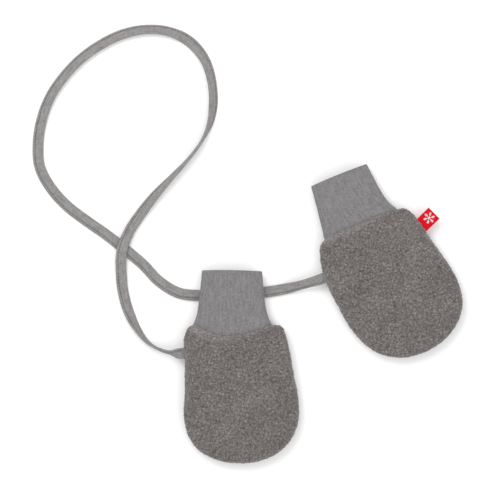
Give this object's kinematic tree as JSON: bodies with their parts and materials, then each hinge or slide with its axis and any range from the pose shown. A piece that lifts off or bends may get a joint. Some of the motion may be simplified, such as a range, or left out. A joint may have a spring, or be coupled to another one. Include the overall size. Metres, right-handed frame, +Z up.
{
  "type": "corded infant mittens",
  "caption": "Pair of thumbless fleece infant mittens with folded rib cuffs, joined by a flat cord that is sewn into their side seams.",
  "frame": {"origin": "on the surface the mittens lie on, under the middle of the pair's plan box without the cord", "axes": "+Z up from the surface, +Y along the left mitten from finger tip to cuff, +X from the left mitten to the right one"},
  "size_m": [0.3351, 0.342, 0.0206],
  "materials": {
    "fleece": "matt short looped pile",
    "lining": "matt jersey",
    "rib": "matt fine rib knit",
    "thread": "satin sewing thread",
    "cord": "matt folded jersey band",
    "label": "satin woven ribbon"
  },
  "bodies": {
    "cord": {"cord": "cord"},
    "left_mitten": {"left_outer_back": "fleece", "left_outer_palm": "fleece", "left_lining_back": "lining", "left_lining_palm": "lining", "left_side_seam": "thread", "left_lining_seam": "thread", "left_wrist_seam": "thread", "left_cord_tack": "thread"},
    "left_cuff": {"left_cuff": "rib"},
    "right_mitten": {"right_outer_back": "fleece", "right_outer_palm": "fleece", "right_lining_back": "lining", "right_lining_palm": "lining", "right_side_seam": "thread", "right_lining_seam": "thread", "right_wrist_seam": "thread", "right_cord_tack": "thread"},
    "right_cuff": {"right_cuff": "rib"},
    "label": {"label_tab": "label"}
  },
  "joints": [
    {"name": "left_swing", "type": "hinge", "parent": "cord", "child": "left_mitten", "pos_m": [-0.10529, -0.0305, 0.0086], "axis": [0, 0, 1], "range_deg": [-18, 15]},
    {"name": "right_swing", "type": "hinge", "parent": "cord", "child": "right_mitten", "pos_m": [0.00375, 0.02866, 0.0086], "axis": [0, 0, 1], "range_deg": [-18, 18]},
    {"name": "left_cuff_fold", "type": "hinge", "parent": "left_mitten", "child": "left_cuff", "pos_m": [-0.0706, -0.0075, 0.0144], "axis": [1, 0, 0], "range_deg": [0, 75]},
    {"name": "right_cuff_fold", "type": "hinge", "parent": "right_mitten", "child": "right_cuff", "pos_m": [0.02904, 0.0702, 0.0144], "axis": [0.9219, 0.3875, 0], "range_deg": [0, 75]},
    {"name": "label_flip", "type": "hinge", "parent": "right_mitten", "child": "label", "pos_m": [0.07865, 0.07035, 0.0086], "axis": [0.7022, -0.712, 0], "range_deg": [-40, 80]}
  ]
}
